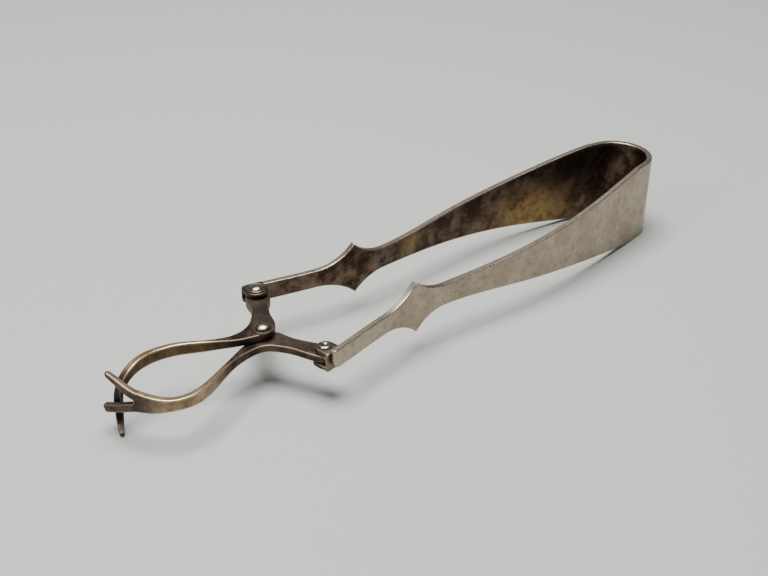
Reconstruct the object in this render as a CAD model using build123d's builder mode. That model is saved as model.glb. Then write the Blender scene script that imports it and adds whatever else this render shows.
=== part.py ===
from build123d import *
from math import cos, hypot, radians, sin
import os

# Spring-bow claw tongs. One flat strip is bent into a bow with two long arms. Each arm ends in a
# forked knuckle that holds the tail of a bell-crank lever, and the two levers are riveted together
# on the centre line. Squeezing the arms opens the claws, and the spring of the bow closes them.
# Plan places are measured from the centre rivet, heights from the strip's middle plane.
# The far side is +Y and the near side is -Y.

os.makedirs("parts", exist_ok=True)

# ---- driving dimensions, in mm ----
front_reach = 34.9          # centre rivet to the front of the fork's tines
bow_reach = 117.8           # centre rivet to the back of the bow
strip_thickness = 1.4
bow_height = 20.6           # height of the strip round the bow
bow_radius = 8.8            # outer radius of the bow
bow_flare = 11.5            # angle at which the arms leave the bow, degrees
bow_flat_length = 10.8      # length at the back over which the strip keeps its full height
split_back = 20.8           # back of the bow to the place where each arm starts to swing
split_gap = 0.1             # clear gap between the bow and an arm

belly_x = 63.0              # widest place of the arms
belly_y = 12.65
belly_height = 8.5
widening_x = 85.0           # where the strip widens towards the bow
widening_height = 14.0
widening_slope = 0.12       # rise of the edge there towards the bow, per mm
waist_x = 40.5              # lowest place of an arm, just behind the spur
waist_height = 5.3
spur_x = 32.0               # pointed spur above and below each arm
spur_y = 10.95
spur_height = 12.6
spur_root_x = 22.0          # where the arm starts to rise towards the spur
arm_end_height = 4.2
arm_splay = 12.0            # angle of the arm's front end, degrees
arm_overhang = 1.4          # arm end past the lug pin

lug_x = 6.7                 # lug pin, where an arm holds a lever
lug_y = 12.6
ear_radius = 2.6
ear_thickness = 1.15
web_thickness = 0.35        # knuckle web between the slot and the arm
slot_side_clearance = 0.12  # above and below the lever
slot_back_clearance = 0.15  # behind the lever's eye

lever_thickness = 1.7
lever_gap = 0.1             # between the two levers at the centre rivet
eye_radius = 2.1            # end of the tail, round the lug pin
hub_radius = 2.35
neck_half_width = 1.9       # half the width of the tail between the eye and the hub
root_x = 6.2                # where a lever's plate ends and its jaw bow rises on edge
root_width = 2.3
plate_shoulder = 3.0        # how far the plate fills the corner between the tail and the root
hub_lap = 0.07              # of the plate's straight edge inside the hub's rim
upper_root_y = 0.9          # middle of each plate's end, off the centre line
lower_root_y = 1.7
root_lap = 1.2              # how far the jaw bow starts inside the plate
root_bar_width = 1.85       # width of the jaw bow there
root_bar_inset = 0.05       # of the bar's two ends below the plate's faces

band_thickness = 1.25       # jaw bows, which stand on edge
band_height = 2.7
rise_x = 13.0               # where a jaw bow has its full height
upper_rise_y = 3.5
lower_rise_y = 5.1
bulge_x = 22.4              # widest place of the jaw bows
upper_bulge_y = 6.8
lower_bulge_y = 8.6
lower_turn_x = 28.4         # where the jaw bows turn in towards each other
upper_turn_x = 27.0
upper_turn_y = 5.7
lower_turn_y = 6.1

# the single claw of the upper lever hangs inside the fork and curls in under it at the tip
claw_neck_x = 29.6          # where the jaw bow starts to bend down into the claw
claw_neck_y = 4.85
claw_neck_rise = 0.8        # all claw heights are from the middle of the fork
claw_bend_x = 31.25
claw_bend_y = 4.5
claw_bend_drop = 1.4
claw_side_x = 31.8
claw_side_y = 4.3
claw_side_drop = 3.7
claw_low_x = 32.05
claw_low_y = 4.0
claw_low_drop = 5.9
claw_curl_x = 32.6
claw_curl_y = 3.0
claw_curl_drop = 7.7
claw_tip_x = 33.65
claw_tip_y = 0.6
claw_tip_drop = 8.8
claw_width = 1.7
claw_depth = 1.2
claw_tip_width = 0.9

fork_x = 31.3               # where the lower lever's jaw forks into two tines
fork_y = 1.9
fork_height = 4.9
tine_thickness = 1.3
tine_height = 1.9
tine_tip_height = 1.1
tine_tip_thickness = 1.05
bar_corner = 0.3            # rounding of the jaw bows' and tines' long edges
upper_tine_tip_x = 33.7
upper_tine_tip_y = 4.0
lower_tine_tip_x = 34.1
lower_tine_tip_y = 5.0
tine_tip_spread = 8.9       # between the tips of the two tines
tine_bow_share = 0.46       # share of that spread reached half way along a tine

lug_pin_radius = 0.8
running_clearance = 0.05
lug_dome_radius = 2.05
lug_dome_height = 0.8
lug_tail_radius = 1.5
lug_tail_height = 0.45
tail_face_share = 0.7       # flat of a hammered tail, as a share of its radius

rivet_radius = 0.95
open_pivot_play = 0.6       # extra radius of the lower lever's hole
rivet_dome_radius = 1.75
rivet_dome_height = 0.95
rivet_tail_radius = 1.5
rivet_tail_height = 0.4
washer_radius = 2.3
washer_thickness = 0.35

# ---- derived places ----
pivot_x = (front_reach - bow_reach) / 2
mid_z = bow_height / 2
hub = Plane(origin=(pivot_x, 0, mid_z))
side = Plane(origin=(pivot_x, 0, mid_z), x_dir=(1, 0, 0), z_dir=(0, -1, 0))

bow_centre_x = bow_reach - bow_radius
bow_line_radius = bow_radius - strip_thickness / 2
split_x = bow_reach - split_back
splay = radians(arm_splay)
flare = radians(bow_flare)
slot_depth = eye_radius + slot_back_clearance
arm_offset = slot_depth + web_thickness + strip_thickness / 2
lever_low = lever_gap / 2
lever_high = lever_gap / 2 + lever_thickness
lever_mid = (lever_low + lever_high) / 2
slot_low = lever_low - slot_side_clearance
slot_high = lever_high + slot_side_clearance
knuckle_low = slot_low - ear_thickness
knuckle_high = slot_high + ear_thickness
knuckle_height = knuckle_high - knuckle_low

arm_along = Vector(cos(splay), -sin(splay))
arm_outward = Vector(sin(splay), cos(splay))
arm_end = Vector(lug_x, lug_y) + arm_outward * arm_offset - arm_along * arm_overhang
shoulder = Vector(bow_centre_x + bow_line_radius * sin(flare), bow_line_radius * cos(flare))
front_x = arm_end.X - strip_thickness   # clear of the strip's two ends, for the cuts
back_x = bow_reach + strip_thickness


# ---- the bent strip: bow and two arms ----
def strip_centre_line():
    """Draw the strip's centre line in plan: far arm, bow, near arm."""
    far = Spline(
        arm_end,
        (spur_x, spur_y),
        (belly_x, belly_y),
        shoulder,
        tangents=[arm_along, (cos(flare), -sin(flare))],
    )
    ThreePointArc(far @ 1, (bow_centre_x + bow_line_radius, 0), (shoulder.X, -shoulder.Y))
    mirror(far, about=Plane.XZ)


def strip_piece(start_x, end_x, reach_far, reach_near):
    """Make the length of strip between two stations, on one or both sides of the centre line."""
    with BuildPart() as piece:
        with BuildSketch(hub.offset(-bow_height / 2)):
            with BuildLine():
                strip_centre_line()
            trace(line_width=strip_thickness)
        extrude(amount=bow_height)
        with BuildSketch(side.offset(-reach_far)):
            with BuildLine():
                foot = Line((front_x, arm_end_height / 2), (spur_root_x, arm_end_height / 2))
                TangentArc(foot @ 1, (spur_x, spur_height / 2), tangent=(1, 0))
                TangentArc((waist_x, waist_height / 2), (spur_x, spur_height / 2), tangent=(-1, 0))
                back = Spline(
                    (waist_x, waist_height / 2),
                    (belly_x, belly_height / 2),
                    (widening_x, widening_height / 2),
                    (bow_reach - bow_flat_length, bow_height / 2),
                    tangents=[(1, 0), (1, widening_slope)],
                )
                last = Line(back @ 1, (back_x, bow_height / 2))
                Line(last @ 1, (back_x, 0))
                Line((front_x, 0), foot @ 0)
                mirror(about=Plane.XZ)
            make_face()
            with Locations(((start_x + end_x) / 2, 0)):
                Rectangle(end_x - start_x, 2 * bow_height, mode=Mode.INTERSECT)
        extrude(amount=reach_far + reach_near, mode=Mode.INTERSECT)
    return piece


full_reach = 2 * arm_end.Y      # past the widest place of either arm

bow_spring = strip_piece(split_x + split_gap / 2, back_x, full_reach, full_reach)
bow_spring.part.label = "bow_spring"
export_step(bow_spring.part, "parts/bow_spring.step")

far_arm = strip_piece(front_x, split_x - split_gap / 2, full_reach, 0)
far_arm.part.label = "far_arm"
export_step(far_arm.part, "parts/far_arm.step")

near_arm = strip_piece(front_x, split_x - split_gap / 2, 0, full_reach)
near_arm.part.label = "near_arm"
export_step(near_arm.part, "parts/near_arm.step")


# ---- knuckles: a fork of two ears and a web, soldered inside each arm's end ----
def lug_plane(side_sign):
    """Plane on a lug pin's axis, with X along the arm and Y towards the arm."""
    origin = (pivot_x + lug_x, side_sign * lug_y, mid_z)
    x_dir = (side_sign * arm_along.X, arm_along.Y, 0)
    return Plane(origin=origin, x_dir=x_dir, z_dir=(0, 0, 1))


def knuckle(side_sign):
    """Make one knuckle. The far one holds the upper lever and the near one the lower lever."""
    place = lug_plane(side_sign)
    low = knuckle_low if side_sign > 0 else -knuckle_high
    slot = slot_low if side_sign > 0 else -slot_high
    with BuildPart() as piece:
        with BuildSketch(place.offset(low)):
            Circle(ear_radius)
            with Locations((0, arm_offset / 2)):
                Rectangle(2 * ear_radius, arm_offset)
            Circle(lug_pin_radius, mode=Mode.SUBTRACT)
        extrude(amount=knuckle_height)
        with BuildSketch(place.offset(slot)):
            with Locations((0, slot_depth - ear_radius)):
                Rectangle(4 * ear_radius, 2 * ear_radius)
        extrude(amount=slot_high - slot_low, mode=Mode.SUBTRACT)
        with BuildSketch(hub.offset(-bow_height)):
            with BuildLine():
                strip_centre_line()
            trace(line_width=strip_thickness)
        extrude(amount=2 * bow_height, mode=Mode.SUBTRACT)
    return piece


far_knuckle = knuckle(1)
far_knuckle.part.label = "far_knuckle"
export_step(far_knuckle.part, "parts/far_knuckle.step")

near_knuckle = knuckle(-1)
near_knuckle.part.label = "near_knuckle"
export_step(near_knuckle.part, "parts/near_knuckle.step")


# ---- levers: tail and hub in a flat plate, then a jaw bow on edge that ends in claws ----
lug_distance = hypot(lug_x, lug_y)


def lever_plate(side_sign, root_y, hub_hole_radius, low):
    """Make the flat plate of a lever, from the eye at the lug to the root of the jaw bow."""
    tail_plane = Plane(origin=hub.offset(low).origin, x_dir=(lug_x, side_sign * lug_y, 0))
    with BuildPart() as plate:
        with BuildSketch(tail_plane):
            with BuildLine():
                waist = (lug_distance / 2, neck_half_width)
                neck = ThreePointArc((0, hub_radius), waist, (lug_distance, eye_radius))
                Line(neck @ 1, (lug_distance, 0))
                Line((0, 0), neck @ 0)
                mirror(about=Plane.XZ)
            make_face()
            Circle(hub_radius)
            with Locations((lug_distance, 0)):
                Circle(eye_radius)
        extrude(amount=lever_thickness)
        with BuildSketch(hub.offset(low)):
            with BuildLine():
                web = Spline(
                    (lug_x / 4, side_sign * lug_y / 2),
                    (0, side_sign * (root_y + plate_shoulder)),
                    (-root_x, side_sign * (root_y + root_width / 2)),
                )
                end = Line(web @ 1, (-root_x, side_sign * (root_y - root_width / 2)))
                edge = Line(end @ 1, (0, side_sign * (hub_lap - hub_radius)))
                Line(edge @ 1, web @ 0)
            make_face()
        extrude(amount=lever_thickness)
        with BuildSketch(hub.offset(low)):
            Circle(hub_hole_radius)
            with Locations((lug_x, side_sign * lug_y)):
                Circle(lug_pin_radius + running_clearance)
        extrude(amount=lever_thickness, mode=Mode.SUBTRACT)
    return plate.part


def bar(path, sections):
    """Loft a bar along a path through rounded sections: place along it, thickness and height."""
    with BuildPart() as piece:
        for place, thick, high in sections:
            along = path % place
            across = Vector(0, 0, 1).cross(along)
            with BuildSketch(Plane(origin=path @ place, x_dir=across, z_dir=along)):
                RectangleRounded(thick, high, bar_corner)
        loft()
    return piece.part


def spot(x, y, z):
    """Turn a place measured from the centre rivet, claws forward, into the part's frame."""
    return (pivot_x - x, y, mid_z + z)


upper_path = Spline(
    spot(root_x - root_lap, upper_root_y, lever_mid),
    spot(rise_x, upper_rise_y, lever_mid),
    spot(bulge_x, upper_bulge_y, lever_mid),
    spot(upper_turn_x, upper_turn_y, lever_mid),
    spot(claw_neck_x, claw_neck_y, -lever_mid + claw_neck_rise),
    spot(claw_bend_x, claw_bend_y, -lever_mid - claw_bend_drop),
    spot(claw_side_x, claw_side_y, -lever_mid - claw_side_drop),
    spot(claw_low_x, claw_low_y, -lever_mid - claw_low_drop),
    spot(claw_curl_x, claw_curl_y, -lever_mid - claw_curl_drop),
    spot(claw_tip_x, claw_tip_y, -lever_mid - claw_tip_drop),
)
upper_plate = lever_plate(1, upper_root_y, rivet_radius, lever_low)
upper_jaw = bar(
    upper_path,
    [
        (0.00, root_bar_width, lever_thickness - 2 * root_bar_inset),
        (0.10, root_bar_width, lever_thickness),
        (0.25, band_thickness, band_height),
        (0.45, band_thickness, band_height),
        (0.60, band_thickness, band_height),
        (0.70, band_thickness, (band_height + claw_depth) / 2),
        (0.76, claw_width, claw_depth),
        (0.82, claw_width, claw_depth),
        (0.88, claw_width, claw_depth),
        (0.94, claw_width, claw_depth),
        (1.00, claw_tip_width, claw_tip_width),
    ],
)
with BuildPart() as upper_lever:
    add(upper_plate)
    add(upper_jaw)
upper_lever.part.label = "upper_lever"
export_step(upper_lever.part, "parts/upper_lever.step")

lower_path = Spline(
    spot(root_x - root_lap, -lower_root_y, -lever_mid),
    spot(rise_x, -lower_rise_y, -lever_mid),
    spot(bulge_x, -lower_bulge_y, -lever_mid),
    spot(lower_turn_x, -lower_turn_y, -lever_mid),
    spot(fork_x, -fork_y, -lever_mid),
)


def tine_path(up, tip_x, tip_y):
    """Centre line of one tine of the fork, up or down from the jaw bow's middle."""
    root_rise = up * (fork_height - tine_height) / 2
    tip_rise = up * tine_tip_spread / 2
    middle_rise = root_rise + (tip_rise - root_rise) * tine_bow_share
    return Spline(
        spot(lower_turn_x, -lower_turn_y, root_rise - lever_mid),
        spot(fork_x, -fork_y, root_rise - lever_mid),
        spot((fork_x + tip_x) / 2, (tip_y - fork_y) / 2, middle_rise - lever_mid),
        spot(tip_x, tip_y, tip_rise - lever_mid),
    )


upper_tine_path = tine_path(1, upper_tine_tip_x, upper_tine_tip_y)
lower_tine_path = tine_path(-1, lower_tine_tip_x, lower_tine_tip_y)
lower_plate = lever_plate(-1, lower_root_y, rivet_radius + open_pivot_play, -lever_high)
lower_jaw = bar(
    lower_path,
    [
        (0.00, root_bar_width, lever_thickness - 2 * root_bar_inset),
        (0.12, root_bar_width, lever_thickness),
        (0.30, band_thickness, band_height),
        (0.60, band_thickness, band_height),
        (0.85, band_thickness, band_height),
        (1.00, tine_thickness, fork_height),
    ],
)
upper_tine = bar(
    upper_tine_path,
    [
        (0.34, tine_thickness, tine_height),
        (0.60, tine_thickness, tine_height),
        (1.00, tine_tip_thickness, tine_tip_height),
    ],
)
lower_tine = bar(
    lower_tine_path,
    [
        (0.34, tine_thickness, tine_height),
        (0.50, tine_thickness, tine_height),
        (1.00, tine_thickness, tine_height),
    ],
)
with BuildPart() as lower_lever:
    add(lower_plate)
    add(lower_jaw)
    add(upper_tine)
    add(lower_tine)
lower_lever.part.label = "lower_lever"
export_step(lower_lever.part, "parts/lower_lever.step")


# ---- rivets and washers ----
def rivet(plane, shank, head, tail, length):
    """Turn a rivet. The plane is where the head sits, and the shank runs against its normal."""
    head_radius, head_height = head
    tail_radius, tail_height = tail
    flat_radius = tail_face_share * tail_radius
    half = Plane(origin=plane.origin, x_dir=plane.x_dir, z_dir=plane.y_dir * -1)
    with BuildPart() as piece:
        with BuildSketch(half):
            with BuildLine():
                dome = TangentArc((0, head_height), (head_radius, 0), tangent=(1, 0))
                Line((0, head_height), (0, -length - tail_height))
                Line((0, -length - tail_height), (flat_radius, -length - tail_height))
                Line((flat_radius, -length - tail_height), (tail_radius, -length))
                Line((tail_radius, -length), (shank, -length))
                Line((shank, -length), (shank, 0))
                Line((shank, 0), dome @ 1)
            make_face()
        revolve(axis=Axis(plane.origin, plane.z_dir))
    return piece


far_top = Plane(origin=(pivot_x + lug_x, lug_y, mid_z + knuckle_high))
far_pin = rivet(
    far_top,
    lug_pin_radius,
    (lug_dome_radius, lug_dome_height),
    (lug_tail_radius, lug_tail_height),
    knuckle_height,
)
far_pin.part.label = "far_pin"
export_step(far_pin.part, "parts/far_pin.step")

near_bottom = Plane(origin=(pivot_x + lug_x, -lug_y, mid_z - knuckle_high), z_dir=(0, 0, -1))
near_pin = rivet(
    near_bottom,
    lug_pin_radius,
    (lug_dome_radius, lug_dome_height),
    (lug_tail_radius, lug_tail_height),
    knuckle_height,
)
near_pin.part.label = "near_pin"
export_step(near_pin.part, "parts/near_pin.step")

washer_top = lever_high + washer_thickness
stack_height = washer_top + lever_high + running_clearance + washer_thickness
centre_rivet = rivet(
    hub.offset(washer_top),
    rivet_radius,
    (rivet_dome_radius, rivet_dome_height),
    (rivet_tail_radius, rivet_tail_height),
    stack_height,
)
centre_rivet.part.label = "centre_rivet"
export_step(centre_rivet.part, "parts/centre_rivet.step")


def washer(low):
    """Make one washer of the centre rivet."""
    with BuildPart() as piece:
        with BuildSketch(hub.offset(low)):
            Circle(washer_radius)
            Circle(rivet_radius, mode=Mode.SUBTRACT)
        extrude(amount=washer_thickness)
    return piece


top_washer = washer(lever_high)
top_washer.part.label = "top_washer"
export_step(top_washer.part, "parts/top_washer.step")

bottom_washer = washer(-lever_high - running_clearance - washer_thickness)
bottom_washer.part.label = "bottom_washer"
export_step(bottom_washer.part, "parts/bottom_washer.step")
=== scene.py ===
import math

import bmesh
import bpy
import numpy as np
from mathutils import Matrix, Vector


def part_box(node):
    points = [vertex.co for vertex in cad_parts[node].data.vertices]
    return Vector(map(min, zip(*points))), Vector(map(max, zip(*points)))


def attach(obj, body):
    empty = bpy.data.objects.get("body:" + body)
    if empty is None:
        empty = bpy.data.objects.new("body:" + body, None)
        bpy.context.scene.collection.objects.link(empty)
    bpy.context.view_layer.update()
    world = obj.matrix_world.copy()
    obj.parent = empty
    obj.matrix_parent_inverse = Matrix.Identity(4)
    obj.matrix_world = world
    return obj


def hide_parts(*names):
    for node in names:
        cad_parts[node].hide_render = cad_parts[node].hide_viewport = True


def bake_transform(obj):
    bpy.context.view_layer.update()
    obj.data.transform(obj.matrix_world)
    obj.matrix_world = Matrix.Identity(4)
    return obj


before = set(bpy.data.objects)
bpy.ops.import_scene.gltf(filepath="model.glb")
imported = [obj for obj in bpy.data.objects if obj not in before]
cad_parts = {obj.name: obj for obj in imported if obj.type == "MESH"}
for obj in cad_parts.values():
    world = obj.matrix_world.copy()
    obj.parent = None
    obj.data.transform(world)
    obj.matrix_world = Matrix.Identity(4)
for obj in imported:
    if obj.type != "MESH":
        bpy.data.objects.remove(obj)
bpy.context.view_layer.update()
MM = 0.001

# ---- The bent strip ----
# One flat strip of silver, bent into the bow and two long arms, with a pointed spur filed above and
# below each arm. The outside is worn pale by handling, the inside has kept its dark tarnish.
# It is made as three pieces that meet where the arms start to swing, and bends smoothly there.
pivot = (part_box("centre_rivet")[0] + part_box("centre_rivet")[1]) / 2
pivot_x = pivot.x / MM
mid_z = (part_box("bow_spring")[0].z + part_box("bow_spring")[1].z) / 2 / MM
split_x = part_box("far_arm")[1].x / MM - pivot_x
bow_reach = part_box("bow_spring")[1].x / MM - pivot_x
bow_half_height = (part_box("bow_spring")[1].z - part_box("bow_spring")[0].z) / 2 / MM
bow_radius = 8.8
strip_thickness = 1.4
bow_flare = math.radians(11.5)
arm_splay = math.radians(12)


def cubic_through(points, start_slope, end_slope):
    """Smooth curve through points: a cubic between neighbours, with equal curvature where two meet.

    Chord lengths of the first three columns are the parameter, and the two end slopes are given.
    Returns a function of the parameter, and its value at each point."""
    points = np.asarray(points, float)
    step = np.linalg.norm(np.diff(points[:, :3], axis=0), axis=1)
    knots = np.concatenate([[0], np.cumsum(step)])
    count = len(points)
    left = np.zeros((count, count))
    right = np.zeros_like(points)
    left[0, 0] = left[-1, -1] = 1
    right[0] = start_slope
    right[-1] = end_slope
    inner = np.arange(1, count - 1)
    before = step[:-1, None]
    after = step[1:, None]
    left[inner, inner - 1] = step[1:]
    left[inner, inner] = 2 * (step[:-1] + step[1:])
    left[inner, inner + 1] = step[:-1]
    rise = np.diff(points, axis=0)
    right[1:-1] = 3 * (rise[:-1] * after / before + rise[1:] * before / after)
    slopes = np.linalg.solve(left, right)

    def curve(where):
        where = np.clip(np.asarray(where, float), 0, knots[-1])
        span = np.clip(np.searchsorted(knots, where, side="right") - 1, 0, count - 2)
        h = step[span][:, None]
        t = ((where - knots[span]) / step[span])[:, None]
        return (
            (2 * t**3 - 3 * t**2 + 1) * points[span]
            + (t**3 - 2 * t**2 + t) * h * slopes[span]
            + (3 * t**2 - 2 * t**3) * points[span + 1]
            + (t**3 - t**2) * h * slopes[span + 1]
        )

    return curve, knots


def new_piece(name, points, faces):
    """Put an array of points, in mm from the centre rivet, and faces into a mesh in the frame."""
    placed = (np.asarray(points, float) + [pivot_x, 0, mid_z]) * MM
    mesh = bpy.data.meshes.new(name)
    mesh.from_pydata(placed.tolist(), [], faces)
    mesh.validate()
    mesh.shade_smooth()
    piece = bpy.data.objects.new(name, mesh)
    bpy.context.scene.collection.objects.link(piece)
    return piece


def tube_faces(rings, around):
    """Faces of a grid of closed rings, with an end cap of one face on the first and last ring."""
    ring = np.arange(rings - 1)[:, None] * around
    spot = np.arange(around)[None, :]
    ahead = (spot + 1) % around
    quads = np.stack([ring + spot, ring + ahead, ring + around + ahead, ring + around + spot], axis=-1)
    faces = quads.reshape(-1, 4).tolist()
    faces.append(list(range(around))[::-1])
    faces.append([(rings - 1) * around + i for i in range(around)])
    return faces


def rounded_section(across, up, corner, flat_steps=10, corner_steps=5):
    """Ring of a rounded rectangle for each station: across is half its width, up half its height.

    Each corner is a quarter circle of radius corner, and each side is divided evenly."""
    across, up, corner = (np.asarray(v, float)[:, None] for v in (across, up, corner))
    corner = np.minimum(corner, 0.98 * np.minimum(across, up))
    turn = np.linspace(0, math.pi / 2, corner_steps + 1)[None, :]
    part = np.linspace(0, 1, flat_steps + 1)[None, 1:-1]
    a, b = [], []
    for quarter in range(4):
        angle = turn + quarter * math.pi / 2
        sign_a = (1, -1, -1, 1)[quarter]
        sign_b = (1, 1, -1, -1)[quarter]
        a.append(sign_a * (across - corner) + corner * np.cos(angle))
        b.append(sign_b * (up - corner) + corner * np.sin(angle))
        next_a = (-1, -1, 1, 1)[quarter] * (across - corner) + corner * np.cos(angle[:, -1:])
        next_b = (1, -1, -1, 1)[quarter] * (up - corner) + corner * np.sin(angle[:, -1:])
        a.append(a[-1][:, -1:] * (1 - part) + next_a * part)
        b.append(b[-1][:, -1:] * (1 - part) + next_b * part)
    return np.concatenate(a, axis=1), np.concatenate(b, axis=1)


arm_end_half = 2.1
spur_x, spur_half = 32.0, 6.3
spur_root_x, waist_x, waist_half = 22.0, 40.5, 2.65
belly_x, belly_y, belly_half = 63.0, 12.65, 4.25
widening_x, widening_half, widening_slope = 85.0, 7.0, 0.12
bow_flat = 10.8
end_corner = 1.3
end_edge = 0.45
long_edge = 0.22
ochre_zone = (90, 11)
waist_ochre_zone = (49, 3.5)
# centre and width in mm of the black tarnish and painted shade high in the bow's inside
bow_tarnish_and_shade_zone = (105, 8)
outer_shade_start, outer_shade_run = 96, 14


def outline_half_height(x):
    """Half the strip's height at x.

    It is even at the front, rises along an arc to the spur's point and falls along an arc to the
    waist, then widens along a smooth curve to the bow's full height."""

    def arc_from(x0, h0):
        radius = ((spur_x - x0) ** 2 + (spur_half - h0) ** 2) / (2 * (spur_half - h0))
        reach = np.clip(np.abs(x - x0), 0, abs(spur_x - x0))
        return h0 + radius - np.sqrt(radius**2 - reach**2)

    back = [(waist_x, waist_half), (belly_x, belly_half), (widening_x, widening_half)]
    back.append((bow_reach - bow_flat, bow_half_height))
    curve, knots = cubic_through(back, (1, 0), (1, widening_slope))
    line = curve(np.linspace(0, knots[-1], 400))
    rising = np.interp(x, line[:, 0], line[:, 1])
    front = np.where(x < spur_root_x, arm_end_half, arc_from(spur_root_x, arm_end_half))
    return np.where(x < spur_x, front, np.where(x < waist_x, arc_from(waist_x, waist_half), rising))


bow_centre_x = bow_reach - bow_radius
line_radius = bow_radius - strip_thickness / 2
shoulder = (
    bow_centre_x + line_radius * math.sin(bow_flare),
    line_radius * math.cos(bow_flare),
)
far_lug = (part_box("far_pin")[0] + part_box("far_pin")[1]) / 2
lug_x = far_lug.x / MM - pivot_x
lug_y = far_lug.y / MM
arm_out = np.array([math.sin(arm_splay), math.cos(arm_splay)])
arm_along = np.array([math.cos(arm_splay), -math.sin(arm_splay)])
arm_offset = 3.3
arm_overhang = 1.4
arm_end = np.array([lug_x, lug_y]) + arm_out * arm_offset - arm_along * arm_overhang
arm_curve, arm_knots = cubic_through(
    [arm_end, (spur_x, 10.95), (belly_x, belly_y), shoulder],
    arm_along,
    (math.cos(bow_flare), -math.sin(bow_flare)),
)


def mesh_edges(mesh):
    """The two vertex numbers of each edge, one row for each edge."""
    ends = np.empty(len(mesh.edges) * 2, np.int64)
    mesh.edges.foreach_get("vertices", ends)
    return ends.reshape(-1, 2)


def paint(piece, shade, wear_and_highlight, ochre=0.0, soot_and_shade=0.0):
    """Write the four attributes that the metal reads, one value for each vertex."""
    count = len(piece.data.vertices)
    for layer_name, values in (("shade", shade), ("wear_and_highlight", wear_and_highlight), ("ochre", ochre), ("soot_and_shade", soot_and_shade)):
        layer = piece.data.attributes.new(layer_name, "FLOAT", "POINT")
        layer.data.foreach_set("value", np.broadcast_to(values, count).astype(np.float32))


def strip_mesh(name, stations, side, free_end):
    """A finished length of the strip: rounded rectangles along its centre line in plan.

    stations are places on the centre line, as rows of x, y and the direction of travel. Each ring
    stands across that direction, with its height from the outline. The tarnish is then painted:
    dark inside, ochre stain in its zone, black tarnish and painted shade high in the bow's inside,
    and pale along the worn edges, with a painted highlight on the corner that faces the camera."""
    x, y = stations[:, 0], stations[:, 1]
    direction = stations[:, 2:4]
    normal = np.stack([-direction[:, 1], direction[:, 0]], axis=1)
    half = outline_half_height(x)
    across = np.full(len(x), strip_thickness / 2)
    low = half.copy()
    if free_end:
        back = np.linalg.norm(stations[:, :2] - stations[0, :2], axis=1)
        edge = np.clip(1 - back / end_edge, 0, 1)
        across -= end_edge * (1 - np.sqrt(1 - edge**2)) * 0.9
        half -= end_edge * (1 - np.sqrt(1 - edge**2))
        bend = np.clip(1 - back / end_corner, 0, 1)
        low -= end_corner * (1 - np.sqrt(1 - bend**2)) * 0.98
    up = (half + low) / 2
    a, b = rounded_section(across, up, np.full(len(x), long_edge), flat_steps=22)
    b = b + ((half - low) / 2)[:, None]
    plan_x = x[:, None] + a * normal[:, :1]
    plan_y = (y[:, None] + a * normal[:, 1:]) * side
    points = np.stack([plan_x, plan_y, b], axis=-1)
    rings, around = a.shape
    faces = tube_faces(rings, around)
    if side > 0:
        faces = [face[::-1] for face in faces]
    piece = new_piece(name, points.reshape(-1, 3), faces)
    cut_rings = [rings - 1] if free_end else [0, rings - 1]
    ends = mesh_edges(piece.data) // around
    cut = np.isin(ends[:, 0], cut_rings) & (ends[:, 0] == ends[:, 1])
    piece.data.attributes.new("sharp_edge", "BOOLEAN", "EDGE").data.foreach_set("value", cut)

    level = b / half[:, None]
    edge = np.clip((np.abs(b) - half[:, None] + 0.26) / 0.16, 0, 1)
    corner = np.clip(1.6 - 3.2 * np.abs(np.abs(a) / (strip_thickness / 2) - 0.86), 0, 1) * edge
    inside = np.clip(0.5 - a / strip_thickness * 1.4, 0, 1)
    far = (points[..., 1] > 0) * 1.0
    along = x[:, None]

    def bump_at(value, centre, width):
        return np.exp(-(((value - centre) / width) ** 2))

    ochre = inside * far * bump_at(along, *ochre_zone) * np.clip(0.65 - 0.8 * level, 0, 1)
    ochre += inside * far * bump_at(along, *waist_ochre_zone) * bump_at(level, 0.2, 0.8) * 0.6
    # black tarnish with painted shade high in the bow's inside, and a little darkening over the near
    # arm's whole inside
    soot_and_shade = inside * bump_at(along, *bow_tarnish_and_shade_zone) * np.clip(0.55 + 0.9 * level, 0, 1)
    soot_and_shade += inside * (1 - far) * 0.35
    ends_worn = np.zeros_like(along)
    if free_end:
        ends_worn = np.clip(1.4 - back / 0.5, 0, 1)[:, None]
    # painted highlight: the worn corner on the side that faces the camera is painted far brighter than
    # the other
    camera_corner_highlight = np.where(a * (2 * far - 1) < 0, 1.0, 0.3)
    outer_bow = (1 - inside) * np.clip((along - outer_shade_start) / outer_shade_run, 0, 1)
    shade = (inside + 0.22 * outer_bow) * (1 - edge) + 0.30 * edge
    wear_and_highlight = np.maximum(edge * (0.15 + 0.85 * corner * camera_corner_highlight), ends_worn * 0.6)
    paint(piece, shade.ravel(), wear_and_highlight.ravel(), ochre.ravel(), (soot_and_shade * (1 - edge)).ravel())
    piece.data.materials.append(strip_silver)
    return piece


def stations_at(xs):
    """Stations on the arm's centre line at each x, as rows of x, y and the direction of travel."""
    fine = arm_curve(np.linspace(0, arm_knots[-1], 4000))
    ys = np.interp(xs, fine[:, 0], fine[:, 1])
    slope = np.interp(xs, fine[:, 0], np.gradient(fine[:, 1], fine[:, 0]))
    length = np.hypot(1, slope)
    return np.stack([xs, ys, 1 / length, slope / length], axis=1)


def arm_stations(start_x, end_x):
    """Stations of a whole arm, close together at its end, the spur and the waist."""
    marks = [start_x, start_x + 0.5, start_x + 1.6, spur_root_x, spur_x - 1.5, spur_x, spur_x + 1.5]
    marks += [waist_x, belly_x, end_x]
    counts = [10, 8, 40, 24, 8, 8, 24, 40, 60]
    spans = [np.linspace(a, b, n, endpoint=False) for a, b, n in zip(marks, marks[1:], counts)]
    return stations_at(np.concatenate([*spans, [end_x]]))


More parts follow.
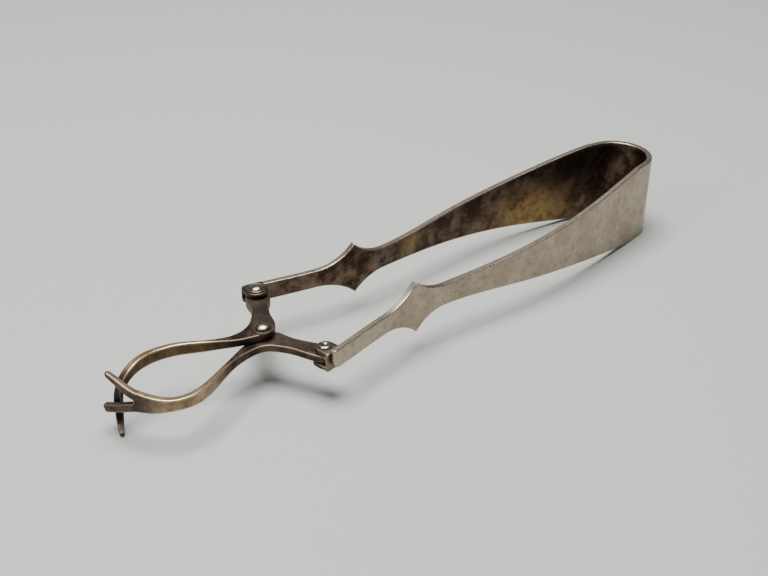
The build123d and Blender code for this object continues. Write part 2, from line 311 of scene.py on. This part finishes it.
def metal(name, pale, tint, tarnish, dark, tarnish_bias, bump, gloss):
    """Old silver: pale metal with mottled tints, brown and black tarnish, bright worn edges, pits,
    and painted highlight and shade where the attributes ask for them.

    The attribute shade says how much tarnish a place has kept. The wear attribute says how much it
    has been rubbed bright, and on the strip it also holds a painted highlight along the edge corner
    that faces the camera. The ochre attribute says how much ochre stain a place has, and the soot
    attribute how much black tarnish and painted shade. All patterns are noises and cells on object
    coordinates."""
    material = bpy.data.materials.new(name)
    material.use_nodes = True
    nodes = material.node_tree.nodes
    links = material.node_tree.links
    shader = nodes["Principled BSDF"]
    shader.inputs["Metallic"].default_value = 1.0
    place = nodes.new("ShaderNodeTexCoord").outputs["Object"]

    def noise(scale, detail, rough, stretch=None):
        node = nodes.new("ShaderNodeTexNoise")
        node.inputs["Scale"].default_value = scale
        node.inputs["Detail"].default_value = detail
        node.inputs["Roughness"].default_value = rough
        if stretch is None:
            links.new(place, node.inputs["Vector"])
        else:
            mapping = nodes.new("ShaderNodeMapping")
            mapping.inputs["Scale"].default_value = stretch
            links.new(place, mapping.inputs["Vector"])
            links.new(mapping.outputs["Vector"], node.inputs["Vector"])
        return node.outputs["Fac"]

    def spread(value, low, high, to_low=0.0, to_high=1.0):
        node = nodes.new("ShaderNodeMapRange")
        node.interpolation_type = "SMOOTHSTEP"
        node.inputs["From Min"].default_value = low
        node.inputs["From Max"].default_value = high
        node.inputs["To Min"].default_value = to_low
        node.inputs["To Max"].default_value = to_high
        links.new(value, node.inputs["Value"])
        return node.outputs["Result"]

    def combine(operation, first, second):
        # everything but a difference is kept between 0 and 1
        node = nodes.new("ShaderNodeMath")
        node.operation = operation
        node.use_clamp = operation != "SUBTRACT"
        for socket, value in zip(node.inputs, (first, second)):
            if isinstance(value, (int, float)):
                socket.default_value = value
            else:
                links.new(value, socket)
        return node.outputs["Value"]

    def blend_colour(amount, first, second):
        node = nodes.new("ShaderNodeMix")
        node.data_type = "RGBA"
        links.new(amount, node.inputs[0])
        for socket, value in ((node.inputs[6], first), (node.inputs[7], second)):
            if isinstance(value, tuple):
                socket.default_value = (*value, 1)
            else:
                links.new(value, socket)
        return node.outputs[2]

    def attribute(layer_name):
        node = nodes.new("ShaderNodeAttribute")
        node.attribute_name = layer_name
        return node.outputs["Fac"]

    shade = attribute("shade")
    wear_and_highlight = attribute("wear_and_highlight")
    blotch = noise(110, 5, 0.62)
    mottle = noise(520, 6, 0.7)
    grain = noise(2600, 4, 0.65)
    scratch = noise(1500, 3, 0.6, (0.12, 1.0, 1.6))
    pits = nodes.new("ShaderNodeTexVoronoi")
    pits.inputs["Scale"].default_value = 620
    pits.inputs["Randomness"].default_value = 1.0
    links.new(place, pits.inputs["Vector"])
    pit = combine(
        "MULTIPLY", spread(pits.outputs["Distance"], 0.10, 0.24, 1.0, 0.0), spread(mottle, 0.52, 0.66)
    )

    tinted = blend_colour(spread(blotch, 0.40, 0.62), pale, tint)
    tinted = blend_colour(spread(mottle, 0.46, 0.70, 0.0, 0.55), tinted, tarnish)
    speck = noise(1500, 5, 0.75, (1.0, 1.0, 0.5))
    tinted = blend_colour(spread(speck, 0.50, 0.68, 0.0, 0.50), tinted, tarnish)
    film = combine(
        "ADD", combine("MULTIPLY", shade, 0.95), spread(blotch, 0.42, 0.75, 0.0, tarnish_bias)
    )
    film = combine("ADD", film, spread(mottle, 0.50, 0.72, 0.0, 0.22 * tarnish_bias))
    tinted = blend_colour(spread(film, 0.25, 0.75), tinted, tarnish)
    deep = combine("MULTIPLY", spread(film, 0.55, 1.0), spread(noise(190, 6, 0.68), 0.36, 0.60))
    tinted = blend_colour(deep, tinted, dark)
    gold = combine("MULTIPLY", attribute("ochre"), spread(mottle, 0.36, 0.58, 0.25, 1.0))
    ochre_stain = (0.36, 0.235, 0.085)
    tinted = blend_colour(gold, tinted, ochre_stain)
    # black tarnish and painted shade, as much as the soot attribute asks
    soot_and_shade_mix = combine("MULTIPLY", attribute("soot_and_shade"), spread(blotch, 0.34, 0.60, 0.55, 1.0))
    tinted = blend_colour(soot_and_shade_mix, tinted, dark)
    tinted = blend_colour(combine("MULTIPLY", pit, 0.75), tinted, dark)
    bright = tuple(min(1.0, 1.12 * c) for c in pale)
    # worn edges rubbed bright, and on the strip a painted highlight along the corner that faces the
    # camera
    edge = combine("MULTIPLY", wear_and_highlight, spread(grain, 0.30, 0.62, 0.65, 1.0))
    tinted = blend_colour(edge, tinted, bright)
    links.new(tinted, shader.inputs["Base Color"])

    rough = combine(
        "ADD", spread(film, 0.1, 0.9, gloss, gloss + 0.16), spread(grain, 0.35, 0.7, 0.0, 0.10)
    )
    rough = combine("SUBTRACT", rough, combine("MULTIPLY", wear_and_highlight, 0.12))
    links.new(rough, shader.inputs["Roughness"])

    height = combine("ADD", combine("MULTIPLY", scratch, 0.30), combine("MULTIPLY", grain, 0.22))
    height = combine("ADD", height, combine("MULTIPLY", mottle, 0.35))
    height = combine("SUBTRACT", height, combine("MULTIPLY", pit, 0.6))
    relief = nodes.new("ShaderNodeBump")
    relief.inputs["Strength"].default_value = bump
    relief.inputs["Distance"].default_value = 0.06 * MM
    links.new(height, relief.inputs["Height"])
    links.new(relief.outputs["Normal"], shader.inputs["Normal"])
    return material


def vertex_rows(mesh, what):
    """Three numbers for each vertex: its place for co, or its normal for normal."""
    rows = np.empty(len(mesh.vertices) * 3)
    mesh.vertices.foreach_get(what, rows)
    return rows.reshape(-1, 3)


def places_in_mm(mesh):
    """Vertex places in mm from the centre rivet."""
    return vertex_rows(mesh, "co") / MM - [pivot_x, 0, mid_z]


def worn_edges(mesh, radius, rounds=2):
    """How sharply the surface bends outward at each vertex, from 0 to 1.

    The turn of the normal along an edge, divided by the edge's length, is the bend there. The
    largest one at a vertex is multiplied by radius in mm, then evened out over the neighbours."""
    count = len(mesh.vertices)
    co = vertex_rows(mesh, "co") / MM
    normal = vertex_rows(mesh, "normal")
    ends = mesh_edges(mesh)
    gap = co[ends[:, 1]] - co[ends[:, 0]]
    length2 = np.maximum((gap**2).sum(1), 1e-12)
    curve = ((normal[ends[:, 1]] - normal[ends[:, 0]]) * gap).sum(1) / length2
    worst = np.zeros(count)
    np.maximum.at(worst, ends[:, 0], curve)
    np.maximum.at(worst, ends[:, 1], curve)
    value = np.clip(worst * radius, 0, 1)
    degree = np.bincount(ends.ravel(), minlength=count)
    for _ in range(rounds):
        total = np.bincount(ends[:, 0], value[ends[:, 1]], count)
        total = total + np.bincount(ends[:, 1], value[ends[:, 0]], count)
        value = 0.5 * value + 0.5 * total / np.maximum(degree, 1)
    return np.clip(value, 0, 1)


strip_silver = metal(
    "strip_silver",
    pale=(0.40, 0.340, 0.258),
    tint=(0.33, 0.262, 0.195),
    tarnish=(0.195, 0.132, 0.094),
    dark=(0.035, 0.022, 0.015),
    tarnish_bias=0.28,
    bump=0.55,
    gloss=0.34,
)


for side, name, node, body in (
    (1, "far_arm_strip", "far_arm", "far_side"),
    (-1, "near_arm_strip", "near_arm", "near_side"),
):
    arm = strip_mesh(name, arm_stations(arm_end[0], split_x), side, True)
    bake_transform(arm)
    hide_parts(node)

leaving = stations_at(np.linspace(split_x, shoulder[0], 24, endpoint=False))
turn = np.linspace(math.pi / 2 - bow_flare, -math.pi / 2 + bow_flare, 120)
round_bow = np.stack(
    [
        bow_centre_x + line_radius * np.cos(turn),
        line_radius * np.sin(turn),
        np.sin(turn),
        -np.cos(turn),
    ],
    axis=1,
)
returning = leaving[::-1] * [1, -1, -1, 1]
bow = strip_mesh("bow_strip", np.concatenate([leaving, round_bow, returning]), 1, False)
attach(bow, "bow")
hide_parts("bow_spring")

# ---- The two levers ----
# Bell cranks forged from one bar each: a flat tail with an eye, a broad hub, and a jaw bow that
# stands on edge. The upper one ends in a single claw that hangs inside the lower one's two tines.
# Their flats are black with tarnish, and the jaw bows have rubbed to a brownish gold on top.
eye_radius = 2.1
hub_hole = 0.97
loose_hub_hole = 1.55  # so wide that it runs out through the lower hub's edge
lug_hole = 0.85
bar_edge = 0.24
lever_voxel = 0.10
lever_smoothing = 3
jaw_start, jaw_run = -9.5, 4
fork_start, fork_run = -27.5, 3.5
# the claw below this height in mm gets painted shade, growing over this run
claw_shade_start, claw_shade_run = -1.0, 2

upper_bar = [
    # x, y, z from the centre rivet, width to the bow side, width to the jaw side, half height
    (7.7, 14.45, 0.9, 2.2, 2.2, 0.83),
    (6.7, 12.6, 0.9, 2.45, 2.4, 0.83),
    (5.45, 10.3, 0.9, 2.7, 2.6, 0.84),
    (4.3, 8.1, 0.9, 2.1, 2.0, 0.85),
    (3.3, 6.2, 0.9, 2.0, 1.8, 0.85),
    (2.2, 4.2, 0.9, 2.3, 2.1, 0.85),
    (0.1, 1.75, 0.9, 3.35, 2.3, 0.85),
    (-2.9, 0.65, 0.9, 2.0, 1.95, 0.85),
    (-6.0, 0.95, 0.9, 1.3, 1.15, 0.88),
    (-9.5, 2.05, 0.9, 0.68, 0.66, 1.05),
    (-12.4, 3.35, 0.9, 0.50, 0.50, 1.25),
    (-17.2, 5.85, 0.9, 0.62, 0.62, 1.35),
    (-22.4, 6.8, 0.9, 0.72, 0.72, 1.35),
    (-27.0, 5.7, 0.9, 0.78, 0.78, 1.25),
    (-29.6, 4.85, -0.1, 0.86, 0.86, 0.95),
    (-31.25, 4.5, -2.3, 0.90, 0.90, 0.66),
    (-31.8, 4.3, -4.6, 0.88, 0.88, 0.60),
    (-32.05, 4.0, -6.8, 0.84, 0.84, 0.60),
    (-32.6, 3.0, -8.6, 0.72, 0.72, 0.55),
    (-33.75, 0.3, -9.72, 0.46, 0.46, 0.42),
]
lower_bar = [
    (7.7, 14.45, 0.9, 2.1, 2.1, 0.83),
    (6.7, 12.6, 0.9, 2.25, 2.2, 0.83),
    (5.3, 10.0, 0.9, 2.2, 2.1, 0.84),
    (3.6, 6.7, 0.9, 1.9, 1.85, 0.85),
    (2.1, 4.1, 0.9, 2.3, 2.0, 0.85),
    (-0.1, 1.85, 0.9, 3.35, 2.0, 0.85),
    (-3.0, 1.3, 0.9, 1.9, 1.6, 0.85),
    (-6.2, 2.0, 0.9, 1.15, 1.1, 0.88),
    (-9.4, 3.2, 0.9, 0.66, 0.66, 1.05),
    (-12.8, 4.85, 0.9, 0.52, 0.52, 1.25),
    (-17.4, 7.25, 0.9, 0.66, 0.66, 1.35),
    (-22.4, 8.6, 0.9, 0.72, 0.72, 1.35),
    (-26.6, 7.5, 0.9, 0.72, 0.72, 1.4),
    (-29.0, 5.5, 0.9, 0.72, 0.72, 1.85),
    (-31.3, 1.9, 0.9, 0.66, 0.66, 2.4),
]


def bar_shell(stations, side, eye, tip, corner):
    """Closed bar along a smooth path through the stations, as points and faces.

    Each ring is a rounded rectangle across the path. Its two widths and its height follow the
    stations. The eye end is half a circle in plan, and the other end is rounded over a length tip."""
    ring_gap = 0.2
    end_gap = 0.004
    stations = np.asarray(stations, float)
    first_step = stations[1] - stations[0]
    last_step = stations[-1] - stations[-2]
    curve, knots = cubic_through(
        stations,
        first_step / np.linalg.norm(first_step[:3]),
        last_step / np.linalg.norm(last_step[:3]),
    )
    fine = curve(np.linspace(0, knots[-1], 2000))
    run = np.concatenate([[0], np.cumsum(np.linalg.norm(np.diff(fine[:, :3], axis=0), axis=1))])
    length = run[-1]
    ends = 1 - np.cos(np.linspace(0, math.pi / 2, 14))
    middle = np.linspace(eye, length - tip, int(length / ring_gap))[1:-1]
    where = np.concatenate([eye * ends, middle, length - tip * ends[::-1]])
    where[0] += end_gap
    where[-1] -= end_gap
    row = np.stack([np.interp(where, run, fine[:, i]) for i in range(6)], axis=1)
    tangent = np.gradient(row[:, :3], where, axis=0)
    tangent /= np.linalg.norm(tangent, axis=1)[:, None]
    across = np.stack([-tangent[:, 1], tangent[:, 0], np.zeros(len(row))], axis=1)
    across /= np.linalg.norm(across, axis=1)[:, None]
    up = np.cross(tangent, across)
    start_share = np.sqrt(np.clip(1 - np.clip(1 - where / eye, 0, 1) ** 2, 0, 1))
    end_share = np.sqrt(np.clip(1 - np.clip(1 - (length - where) / tip, 0, 1) ** 2, 0, 1))
    bow_width = row[:, 3] * start_share * end_share
    jaw_width = row[:, 4] * start_share * end_share
    high = row[:, 5] * end_share
    half = (bow_width + jaw_width) / 2
    a, b = rounded_section(half, high, np.full(len(row), corner), flat_steps=9, corner_steps=4)
    a = a + ((bow_width - jaw_width) / 2)[:, None]
    points = row[:, None, :3] + a[..., None] * across[:, None] + b[..., None] * up[:, None]
    points = points * [1, side, side]
    rings, around = a.shape
    return points.reshape(-1, 3), tube_faces(rings, around)


def forge(name, shells, holes, voxel, smoothing):
    """Fuse closed shells into one skin, ease its edges, and drill its holes.

    The skin is made in mm by a voxel remesh, and put in its place in the frame afterwards."""
    points, faces = [], []
    for shell_points, shell_faces in shells:
        base = sum(len(p) for p in points)
        points.append(shell_points)
        faces += [[base + i for i in face] for face in shell_faces]
    raw = bpy.data.meshes.new(name + "_raw")
    raw.from_pydata(np.concatenate(points).tolist(), [], faces)
    tidy = bmesh.new()
    tidy.from_mesh(raw)
    bmesh.ops.recalc_face_normals(tidy, faces=tidy.faces)
    tidy.to_mesh(raw)
    tidy.free()
    blank = bpy.data.objects.new(name + "_raw", raw)
    bpy.context.scene.collection.objects.link(blank)
    remesh = blank.modifiers.new("skin", "REMESH")
    remesh.mode = "VOXEL"
    remesh.voxel_size = voxel
    ease = blank.modifiers.new("ease", "SMOOTH")
    ease.factor = 0.5
    ease.iterations = smoothing
    cutters = []
    for x, y, radius in holes:
        drill = bpy.data.meshes.new("drill")
        form = bmesh.new()
        bmesh.ops.create_cone(
            form, cap_ends=True, segments=64, radius1=radius, radius2=radius, depth=12,
            matrix=Matrix.Translation((x, y, 0)),
        )
        form.to_mesh(drill)
        form.free()
        cutter = bpy.data.objects.new("drill", drill)
        bpy.context.scene.collection.objects.link(cutter)
        cut = blank.modifiers.new("hole", "BOOLEAN")
        cut.operation = "DIFFERENCE"
        cut.solver = "EXACT"
        cut.object = cutter
        cutters.append(cutter)
    bpy.context.view_layer.update()
    graph = bpy.context.evaluated_depsgraph_get()
    mesh = bpy.data.meshes.new_from_object(blank.evaluated_get(graph))
    for spare in [blank, *cutters]:
        bpy.data.objects.remove(spare)
    mesh.name = name
    placed = (vertex_rows(mesh, "co") + [pivot_x, 0, mid_z]) * MM
    mesh.vertices.foreach_set("co", placed.ravel())
    mesh.update()
    mesh.shade_smooth()
    piece = bpy.data.objects.new(name, mesh)
    bpy.context.scene.collection.objects.link(piece)
    return piece


lever_silver = metal(
    "lever_silver",
    pale=(0.50, 0.38, 0.25),
    tint=(0.33, 0.235, 0.145),
    tarnish=(0.105, 0.078, 0.058),
    dark=(0.025, 0.019, 0.015),
    tarnish_bias=0.35,
    bump=0.6,
    gloss=0.30,
)


def finish_lever(piece, side):
    """Paint the tarnish and give the metal.

    Flats dark, the insides of the jaw bows darkest, their tops and outsides rubbed paler. The part
    of the upper lever that hangs below the bars gets painted shade, as it lies in the shade of the
    tines: it is darkened and its worn edges are dimmed."""
    place = places_in_mm(piece.data)
    normal = vertex_rows(piece.data, "normal")
    jaw = np.clip((jaw_start - place[:, 0]) / jaw_run, 0, 1)
    inward = np.clip(-side * normal[:, 1] * 1.6, 0, 1)
    top = np.clip(normal[:, 2] * 1.8 - 0.6, 0, 1)
    fork = np.clip((fork_start - place[:, 0]) / fork_run, 0, 1)
    on_jaw = 0.46 + 0.50 * inward * (1 - top) - 0.10 * top + 0.28 * fork
    shade = (1 - jaw) * 0.84 + jaw * on_jaw
    wear_and_highlight = worn_edges(piece.data, 0.30, 2) * (0.40 + 0.60 * jaw) * (1 - 0.45 * fork)
    # painted shade on the claw that hangs below the bars, in the shade of the tines
    claw_shade = np.clip((claw_shade_start - place[:, 2]) / claw_shade_run, 0, 1) * (side > 0)
    wear_and_highlight = np.clip(wear_and_highlight * 1.4 - 0.25, 0, 1) * (1 - 0.7 * claw_shade)
    gold = 0.22 * jaw * (1 - fork)
    paint(piece, shade, wear_and_highlight, gold, 0.75 * claw_shade)
    piece.data.materials.append(lever_silver)


claw_point = 0.5
upper_shell = bar_shell(upper_bar, 1, eye_radius, claw_point, bar_edge)
upper_holes = [(0, 0, hub_hole), (lug_x, lug_y, lug_hole)]
upper_lever = forge("upper_lever_forged", [upper_shell], upper_holes, lever_voxel, lever_smoothing)
finish_lever(upper_lever, 1)
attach(upper_lever, "upper_jaw")
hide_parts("upper_lever")

fork_middle = 0.9
tine_tip_rise = 4.45
tine_root = 0.5
tine_edge = 0.3
fork_root = 0.35
lower_shells = [bar_shell(lower_bar, -1, eye_radius, fork_root, bar_edge)]
for rise, tip_x, tip_y, waist_half, tip_half, tip_length in (
    (-1, -33.75, -4.15, 0.78, 0.50, 0.9),
    (1, -34.35, -5.45, 0.95, 0.98, 0.8),
):
    tine = [
        (-29.2, 5.2, fork_middle + 0.75 * rise, 0.70, 0.70, 0.80),
        (-31.3, 1.9, fork_middle + 1.5 * rise, 0.70, 0.70, 0.95),
        (-32.5, -1.1, fork_middle + 2.85 * rise, 0.66, 0.66, waist_half),
        (tip_x, tip_y, fork_middle + tine_tip_rise * rise, 0.60, 0.60, tip_half),
    ]
    lower_shells.append(bar_shell(tine, -1, tine_root, tip_length, tine_edge))
lower_holes = [(0, 0, loose_hub_hole), (lug_x, -lug_y, lug_hole)]
lower_lever = forge("lower_lever_forged", lower_shells, lower_holes, lever_voxel, lever_smoothing)
finish_lever(lower_lever, -1)
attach(lower_lever, "lower_jaw")
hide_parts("lower_lever")

# ---- The knuckles ----
# A small fork is soldered inside the end of each arm: two ears and the web between them, filed
# round in front. The tail of a lever turns between the ears on a riveted pin.
ear_radius = 2.6
ear_edge = 0.42
small_ear_radius = 2.1
end_round = 1.1
slot_depth = 2.25
knuckle_back = 2.6
knuckle_voxel = 0.07
knuckle_smoothing = 2
far_low = (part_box("far_knuckle")[0].z / MM) - mid_z
far_high = (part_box("far_knuckle")[1].z / MM) - mid_z
ear_thickness = 1.15


def knuckle(name, side):
    """A C-shaped section carried along the arm, whose ears reach out along a circle round the pin.

    Near both ends the section shrinks along a quarter circle, so the outer edges are rounded. It
    has no pin holes, because the pins fill them."""
    half = np.linspace(-1, 1, 61)
    across = ear_radius * np.sin(half * math.pi / 2)
    over_edge = np.clip(np.abs(across) - (ear_radius - ear_edge), 0, ear_edge)
    inset = ear_edge - np.sqrt(np.clip(ear_edge**2 - over_edge**2, 0, None))
    reach = np.sqrt(np.clip(ear_radius**2 - across**2, 0, None)) - inset * 0.5
    small = np.sqrt(np.clip(small_ear_radius**2 - across**2, 0, None)) - inset * 0.5
    small = np.where(np.abs(across) < small_ear_radius, small, -slot_depth + ear_edge)
    past = np.clip(np.abs(across) - (ear_radius - end_round), 0, end_round)
    fall = end_round - np.sqrt(end_round**2 - past**2)
    low, high = far_low + inset + 0.7 * fall, far_high - inset - 0.45 * fall
    slot_low, slot_high = far_low + ear_thickness - inset, far_high - ear_thickness + inset
    back = np.full_like(across, knuckle_back)
    slot = np.full_like(across, slot_depth)
    curve = np.linspace(0, math.pi / 2, 6)[1:-1]

    def ear(out, top, bottom):
        # one ear's outline, from its top face round the front to its bottom face
        root = -out + ear_edge
        upper = [(root - ear_edge * np.sin(t), top - ear_edge + ear_edge * np.cos(t)) for t in curve]
        lower = [(root - ear_edge * np.cos(t), bottom + ear_edge - ear_edge * np.sin(t)) for t in curve]
        front = [(-out, top - ear_edge), (-out, bottom + ear_edge)]
        return [(root, top), *upper, *front, *lower, (root, bottom)]

    outline = [(back, high), *ear(reach, high, slot_high), (slot, slot_high)]
    outline += [(slot, slot_low), *ear(small, slot_low, low), (back, low)]
    depth, height = zip(*outline)
    depth = np.stack(depth, axis=1)
    height = np.stack(height, axis=1)
    plan = np.array([lug_x, lug_y]) + across[:, None, None] * arm_along + depth[..., None] * arm_out
    points = np.concatenate([plan, height[..., None]], axis=-1) * [1, side, side]
    shell = (points.reshape(-1, 3), tube_faces(*depth.shape))
    piece = forge(name, [shell], [], knuckle_voxel, knuckle_smoothing)
    place = places_in_mm(piece.data)
    to_arm = (place[:, :2] * [1, side] - [lug_x, lug_y]) @ arm_out
    near_arm = np.clip((to_arm - 1.1) / 1.1, 0, 1)
    near_arm = near_arm * (1.0 if side < 0 else 0.2)
    wear_and_highlight = np.clip(worn_edges(piece.data, 0.28, 2) * 1.3 - 0.5, 0, 1) * 0.14
    paint(piece, 0.9 - 0.3 * near_arm, wear_and_highlight + 0.12 * near_arm, 0.0, 0.45 * (1 - near_arm))
    piece.data.materials.append(lever_silver)
    return piece


for side, name, node, body in (
    (1, "far_knuckle_fork", "far_knuckle", "far_side"),
    (-1, "near_knuckle_fork", "near_knuckle", "near_side"),
):
    fork = knuckle(name, side)
    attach(fork, body)
    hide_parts(node)

# ---- Rivets and washers ----
# Each pin is a rivet with a turned head, hammered over at its other end. The heads have been
# polished by use, and tarnish stays round their rims. The two thin washers are drawn as discs,
# because the centre rivet fills their holes.
rivet_silver = metal(
    "rivet_silver",
    pale=(0.36, 0.33, 0.275),
    tint=(0.27, 0.24, 0.19),
    tarnish=(0.12, 0.095, 0.07),
    dark=(0.03, 0.022, 0.016),
    tarnish_bias=0.22,
    bump=0.5,
    gloss=0.20,
)


def turned(name, centre, profile, flip, seed, unevenness):
    """Profile of radius and height turned round an upright axis, with a little hand-made unevenness.

    The unevenness is a sum of three slow waves round the axis and up the profile."""
    around = 72
    profile = np.asarray(profile, float)
    step = np.concatenate([[0], np.cumsum(np.linalg.norm(np.diff(profile, axis=0), axis=1))])
    where = np.unique(np.concatenate([np.linspace(0, step[-1], 110), step]))
    radius = np.interp(where, step, profile[:, 0])
    height = np.interp(where, step, profile[:, 1])
    angle = np.linspace(0, 2 * math.pi, around, endpoint=False)
    draw = np.random.default_rng(seed)
    phase = draw.uniform(0, 2 * math.pi, 3)
    wave = sum(np.cos((k + 2) * angle[None, :] + phase[k] + 1.7 * where[:, None]) for k in range(3)) / 3
    r = radius[:, None] * (1 + unevenness * wave)
    upright = np.repeat(height[:, None], around, 1) * flip
    points = np.stack([r * np.cos(angle), r * np.sin(angle), upright], axis=-1) + centre
    piece = new_piece(name, points.reshape(-1, 3), tube_faces(len(where), around))
    shape = bmesh.new()
    shape.from_mesh(piece.data)
    bmesh.ops.remove_doubles(shape, verts=shape.verts, dist=1e-6)
    bmesh.ops.recalc_face_normals(shape, faces=shape.faces)
    shape.to_mesh(piece.data)
    shape.free()
    piece.data.shade_smooth()
    return piece


def dome(radius, base, rise, steps=14):
    """Points of a domed head from its rim up to its top: a quarter of an ellipse."""
    angle = np.linspace(0, math.pi / 2, steps)
    return [(radius * math.cos(t), base + rise * math.sin(t)) for t in angle]


lug_shank, hub_shank = 0.8, 0.95
skirt, crown = 2.02, 1.42
lug_head = [
    (skirt - 0.08, far_high + 0.01), (skirt, far_high + 0.09), (skirt - 0.05, far_high + 0.24),
    (skirt - 0.2, far_high + 0.30), (crown + 0.22, far_high + 0.25), *dome(crown, far_high + 0.2, 0.58),
]
peened = [
    (0.01, far_low - 0.20), (0.35, far_low - 0.22), (0.62, far_low - 0.38), (0.95, far_low - 0.43),
    (1.25, far_low - 0.33), (1.40, far_low - 0.12), (1.38, far_low - 0.01),
]
pin_profile = [*peened, (lug_shank, far_low + 0.01), (lug_shank, far_high), *lug_head]
for side, name, node, body in (
    (1, "far_pin_rivet", "far_pin", "far_side"),
    (-1, "near_pin_rivet", "near_pin", "near_side"),
):
    pin = turned(name, (lug_x, side * lug_y, 0), pin_profile, side, 11 + side, 0.018)
    place = places_in_mm(pin.data)
    from_axis = np.hypot(place[:, 0] - lug_x, place[:, 1] - side * lug_y)
    rim = np.clip((from_axis - 1.15) / 0.5, 0, 1)
    dimple = np.clip(1 - from_axis / 0.55, 0, 1) * (place[:, 2] * side < 0)
    shade = np.clip(0.35 + 0.45 * rim + 0.6 * dimple, 0, 1)
    paint(pin, shade, worn_edges(pin.data, 0.3, 1) * 0.35)
    pin.data.materials.append(rivet_silver)
    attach(pin, body)
    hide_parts(node)

washer_radius = 2.3
washer_thickness = 0.35
for name, node in (("top_washer_ring", "top_washer"), ("bottom_washer_ring", "bottom_washer")):
    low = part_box(node)[0].z / MM - mid_z
    ring = [
        (1.0, low + 0.02), (washer_radius - 0.08, low), (washer_radius, low + 0.08),
        (washer_radius - 0.02, low + 0.2), (washer_radius - 0.16, low + washer_thickness - 0.02),
        (1.0, low + washer_thickness),
    ]
    washer = turned(name, (0, 0, 0), ring, 1, 5, 0.01)
    paint(washer, 0.85, worn_edges(washer.data, 0.2, 1) * 0.2)
    washer.data.materials.append(lever_silver)
    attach(washer, "upper_jaw")
    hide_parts(node)

head_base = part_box("top_washer")[1].z / MM - mid_z
tail_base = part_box("bottom_washer")[0].z / MM - mid_z
hub_profile = [
    (0.01, tail_base - 0.40), (0.8, tail_base - 0.38), (1.3, tail_base - 0.2), (1.48, tail_base - 0.02),
    (hub_shank, tail_base), (hub_shank, head_base),
    (1.66, head_base), (1.73, head_base + 0.08), *dome(1.72, head_base + 0.10, 0.84),
]
hub_rivet = turned("centre_rivet_head", (0, 0, 0), hub_profile, 1, 3, 0.015)
place = places_in_mm(hub_rivet.data)
from_axis = np.hypot(place[:, 0], place[:, 1])
paint(hub_rivet, np.clip((from_axis - 1.35) / 0.4, 0, 0.8), 0.0)
hub_rivet.data.materials.append(rivet_silver)
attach(hub_rivet, "upper_jaw")
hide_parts("centre_rivet")

# ---- Floor, light and camera ----
# A plain pale table top. The tongs lie on the bow's lower rim and on the tip of the single claw,
# so the table is drawn through those two, which tilts it very slightly.
claw_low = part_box("upper_lever")[0]
rim_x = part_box("bow_spring")[1].x
table_slope = claw_low.z / (rim_x - claw_low.x)
table_reach = 6.0
table_clear = 0.00002
corner = np.array([[-1, -1], [1, -1], [1, 1], [-1, 1]]) * table_reach
table_points = np.column_stack([corner, (rim_x - corner[:, 0]) * table_slope - table_clear])
table_mesh = bpy.data.meshes.new("table")
table_mesh.from_pydata(table_points.tolist(), [], [(0, 1, 2, 3)])
table = bpy.data.objects.new("table", table_mesh)
bpy.context.scene.collection.objects.link(table)
table_paint = bpy.data.materials.new("table_paint")
table_paint.use_nodes = True
table_shader = table_paint.node_tree.nodes["Principled BSDF"]
table_shader.inputs["Base Color"].default_value = (0.425, 0.432, 0.410, 1)
table_shader.inputs["Roughness"].default_value = 0.65
table_mesh.materials.append(table_paint)

sky = bpy.data.worlds.new("studio")
bpy.context.scene.world = sky
sky.use_nodes = True
sky.node_tree.nodes["Background"].inputs["Color"].default_value = (0.95, 0.97, 1.0, 1)
sky.node_tree.nodes["Background"].inputs["Strength"].default_value = 0.17

for name, place, size, power in (
    ("soft_overhead", (-0.02, 0.07, 0.70), 0.50, 11.0),
    ("soft_left", (-0.60, 0.05, 0.45), 0.40, 1.6),
):
    lamp = bpy.data.lights.new(name, "AREA")
    lamp.shape = "DISK"
    lamp.size = size
    lamp.energy = power
    light = bpy.data.objects.new(name, lamp)
    light.location = place
    light.rotation_mode = "QUATERNION"
    light.rotation_quaternion = (-Vector(place)).to_track_quat("-Z", "Y")
    bpy.context.scene.collection.objects.link(light)

view_turn = math.radians(38.94)
view_drop = math.radians(31.115)
right = Vector((math.cos(view_turn), -math.sin(view_turn), 0))
ahead = Vector(
    (
        math.sin(view_turn) * math.cos(view_drop),
        math.cos(view_turn) * math.cos(view_drop),
        -math.sin(view_drop),
    )
)
above = right.cross(ahead)
camera_data = bpy.data.cameras.new("camera")
camera_data.sensor_width = 36
camera_data.lens = 52.70
camera_data.clip_start = 0.01
camera = bpy.data.objects.new("camera", camera_data)
camera.rotation_mode = "QUATERNION"
camera_axes = Matrix((right, above, -ahead)).transposed()
camera.rotation_quaternion = camera_axes.to_quaternion()
camera.location = pivot.xy.to_3d() + Vector((-0.1034, -0.1679, mid_z * MM + 0.1297))
bpy.context.scene.collection.objects.link(camera)
bpy.context.scene.camera = camera
